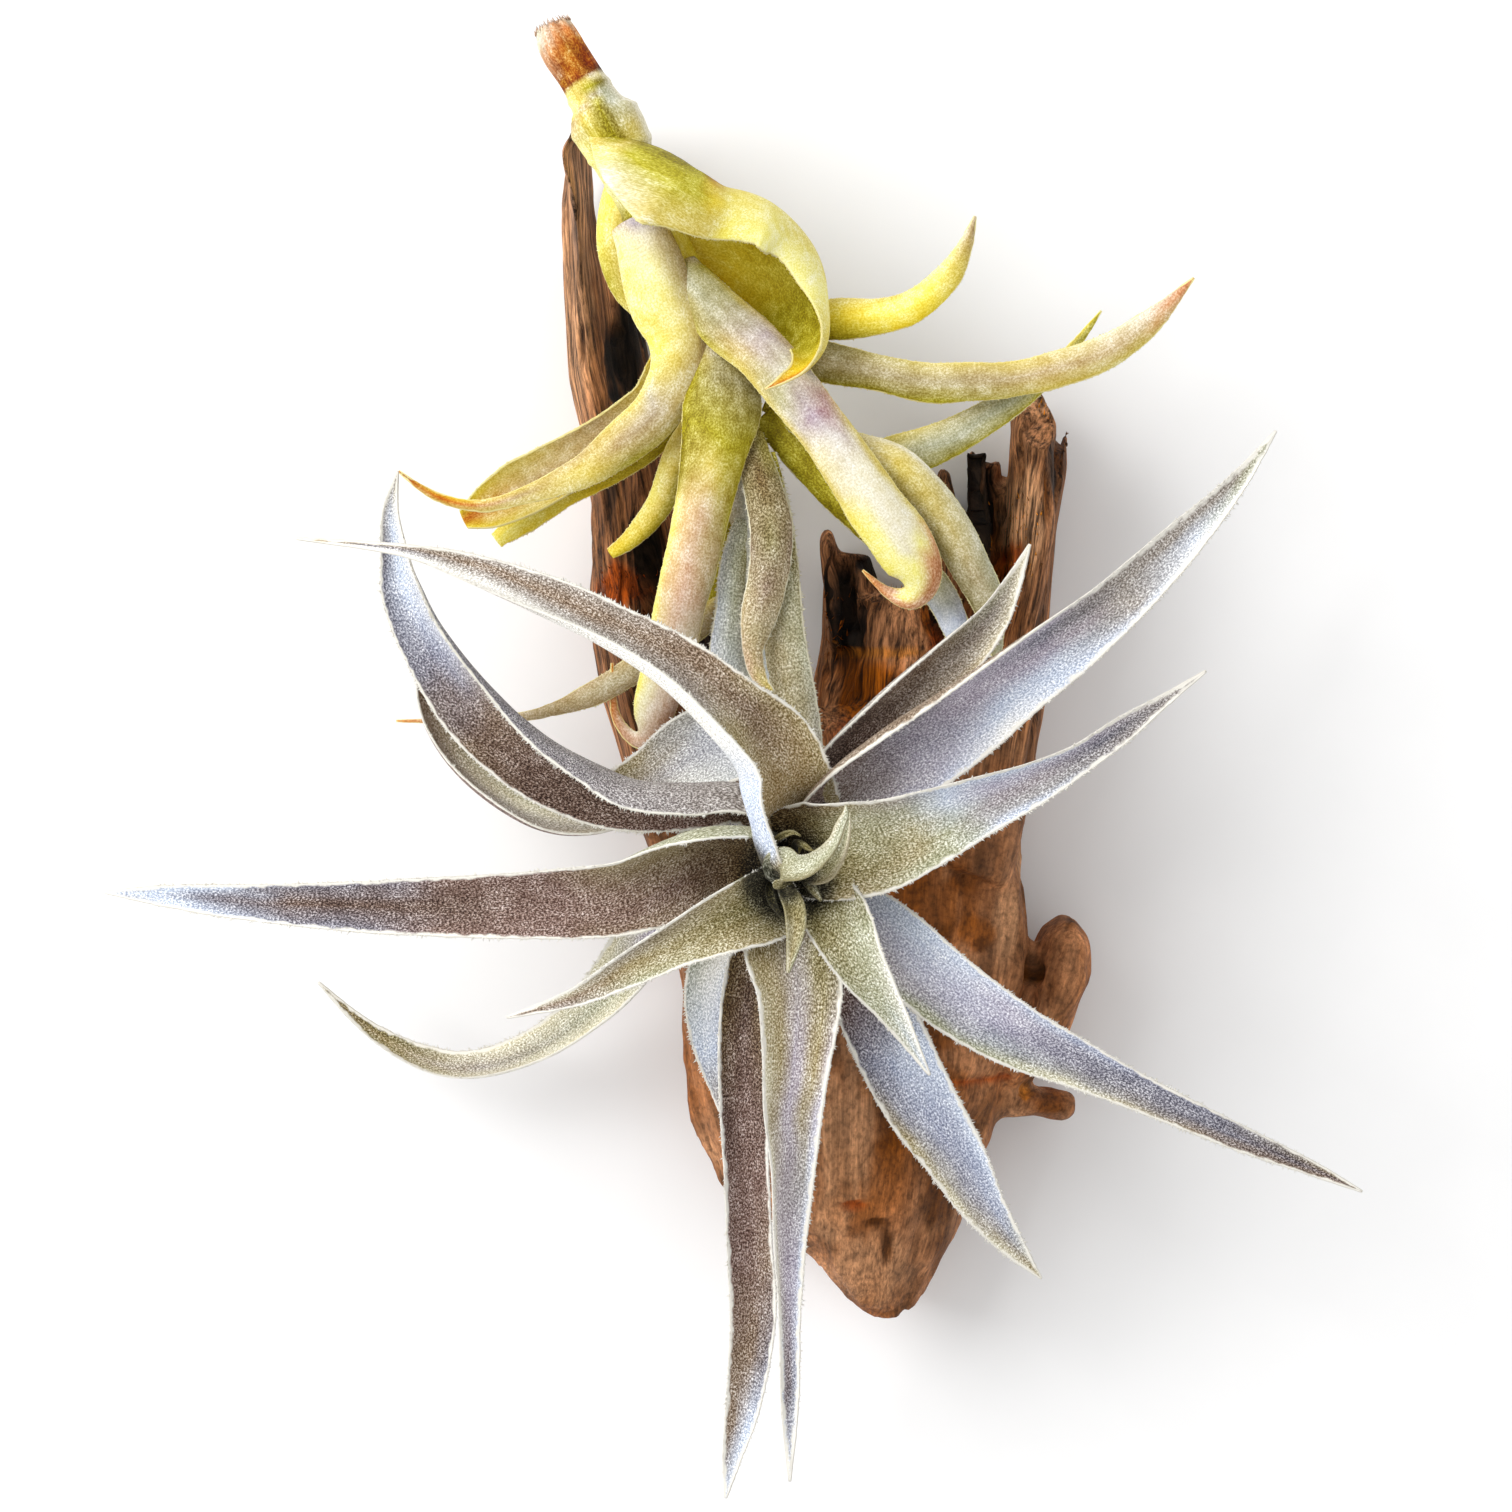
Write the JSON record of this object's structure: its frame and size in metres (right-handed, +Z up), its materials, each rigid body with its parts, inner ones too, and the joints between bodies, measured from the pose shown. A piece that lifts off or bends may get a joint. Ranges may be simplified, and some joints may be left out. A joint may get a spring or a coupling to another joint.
{
  "type": "air plant on driftwood",
  "caption": "Long-stemmed air plant with a star rosette of channelled silvery leaves and curled yellow old leaves, lying on a forked piece of driftwood.",
  "frame": {"origin": "on the flat resting face of the driftwood, directly below the heart of the rosette", "axes": "+Z up; +Y along the stem, from the rosette towards its old cut end; +X to the right as seen from above"},
  "size_m": [0.2072, 0.2443, 0.0825],
  "materials": {
    "silver_leaf": "dry velvet of silver scales",
    "pale_leaf": "dry velvet of silver scales",
    "yellow_leaf": "matte, finely scaled",
    "green_leaf": "matte, finely scaled",
    "heart_leaf": "dry velvet of silver scales",
    "stem": "matte, finely scaled",
    "driftwood": "weathered, grooved along the grain"
  },
  "bodies": {
    "root": {"stem": "stem", "heart_leaves": "heart_leaf", "driftwood": "driftwood", "leaf_ene_front": "silver_leaf", "leaf_nw_long": "silver_leaf", "leaf_sw_short": "silver_leaf", "leaf_se_short": "silver_leaf", "leaf_s_front": "silver_leaf", "leaf_ne_long": "silver_leaf", "leaf_ese_long": "silver_leaf", "leaf_se_long": "silver_leaf", "leaf_s_long": "silver_leaf", "leaf_w_long": "silver_leaf", "leaf_w_upper": "silver_leaf", "leaf_nne_short": "silver_leaf", "leaf_w_lower": "silver_leaf", "leaf_s_back": "silver_leaf", "leaf_sw_low": "silver_leaf", "stem_leaf_front": "pale_leaf", "stem_leaf_right": "pale_leaf", "stem_leaf_left": "pale_leaf", "old_leaf_hook": "yellow_leaf", "old_leaf_cross": "yellow_leaf", "old_leaf_centre": "yellow_leaf", "old_leaf_left": "yellow_leaf", "old_leaf_e_long": "yellow_leaf", "old_leaf_ne_upper": "yellow_leaf", "old_sheath": "yellow_leaf", "old_leaf_left_back": "yellow_leaf", "old_leaf_left_low": "yellow_leaf", "old_leaf_spur": "yellow_leaf", "old_leaf_se_outer": "green_leaf", "old_leaf_se_inner": "green_leaf", "old_leaf_e_back": "green_leaf", "old_leaf_sw_thin": "green_leaf", "old_leaf_s_inner": "green_leaf"}
  },
  "joints": []
}
